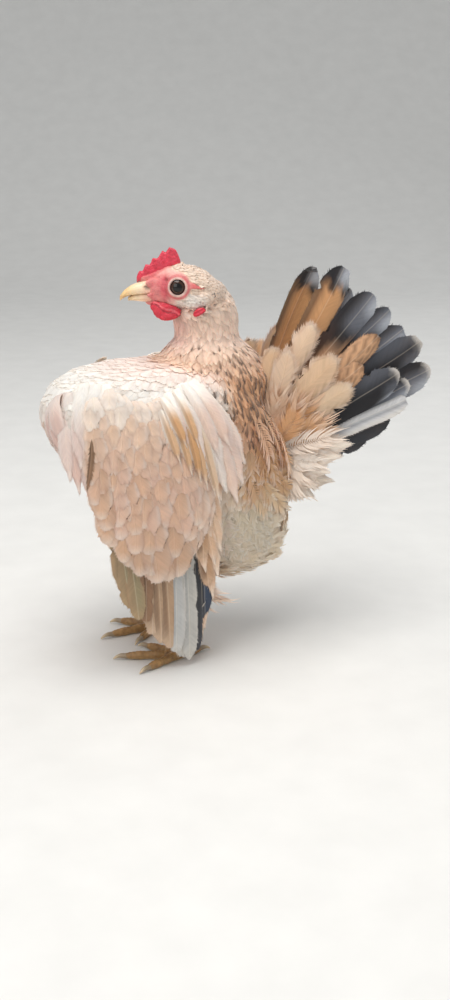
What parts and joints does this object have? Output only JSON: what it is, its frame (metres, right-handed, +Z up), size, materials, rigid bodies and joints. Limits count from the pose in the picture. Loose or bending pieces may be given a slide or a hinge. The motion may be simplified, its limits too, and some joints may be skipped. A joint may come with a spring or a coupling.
{
  "type": "serama chicken",
  "caption": "Life-size still model of a buff serama hen in show stance, breast high, wings hung straight down and tail fanned upright.",
  "frame": {"origin": "on the floor, under the middle of the hen's box", "axes": "+Z up, the hen's breast faces -Y, her left side is +X"},
  "size_m": [0.0982, 0.1876, 0.195],
  "materials": {
    "cream": "soft white and cream body feathers",
    "buff": "buff feathers with black on the tail and wing ends",
    "face": "bare pink-red skin and short feathers",
    "comb": "fleshy, finely grained red skin",
    "horn": "pale horn of the bill and claws",
    "eye": "wet, dark brown",
    "scale": "dull yellow scales"
  },
  "bodies": {
    "root": {"beak_lower": "horn", "beak_upper": "horn", "claw_hind_left": "horn", "claw_hind_right": "horn", "claw_inner_left": "horn", "claw_inner_right": "horn", "claw_middle_left": "horn", "claw_middle_right": "horn", "claw_outer_left": "horn", "claw_outer_right": "horn", "comb": "comb", "earlobe_left": "comb", "earlobe_right": "comb", "eye_left": "eye", "eye_right": "eye", "foot_left": "scale", "foot_right": "scale", "head": "face", "neck": "buff", "shank_left": "scale", "shank_right": "scale", "tail_left": "buff", "tail_right": "buff", "thigh_left": "cream", "thigh_right": "cream", "torso": "cream", "wattle_left": "comb", "wattle_right": "comb", "wing_left": "buff", "wing_right": "buff"}
  },
  "joints": []
}
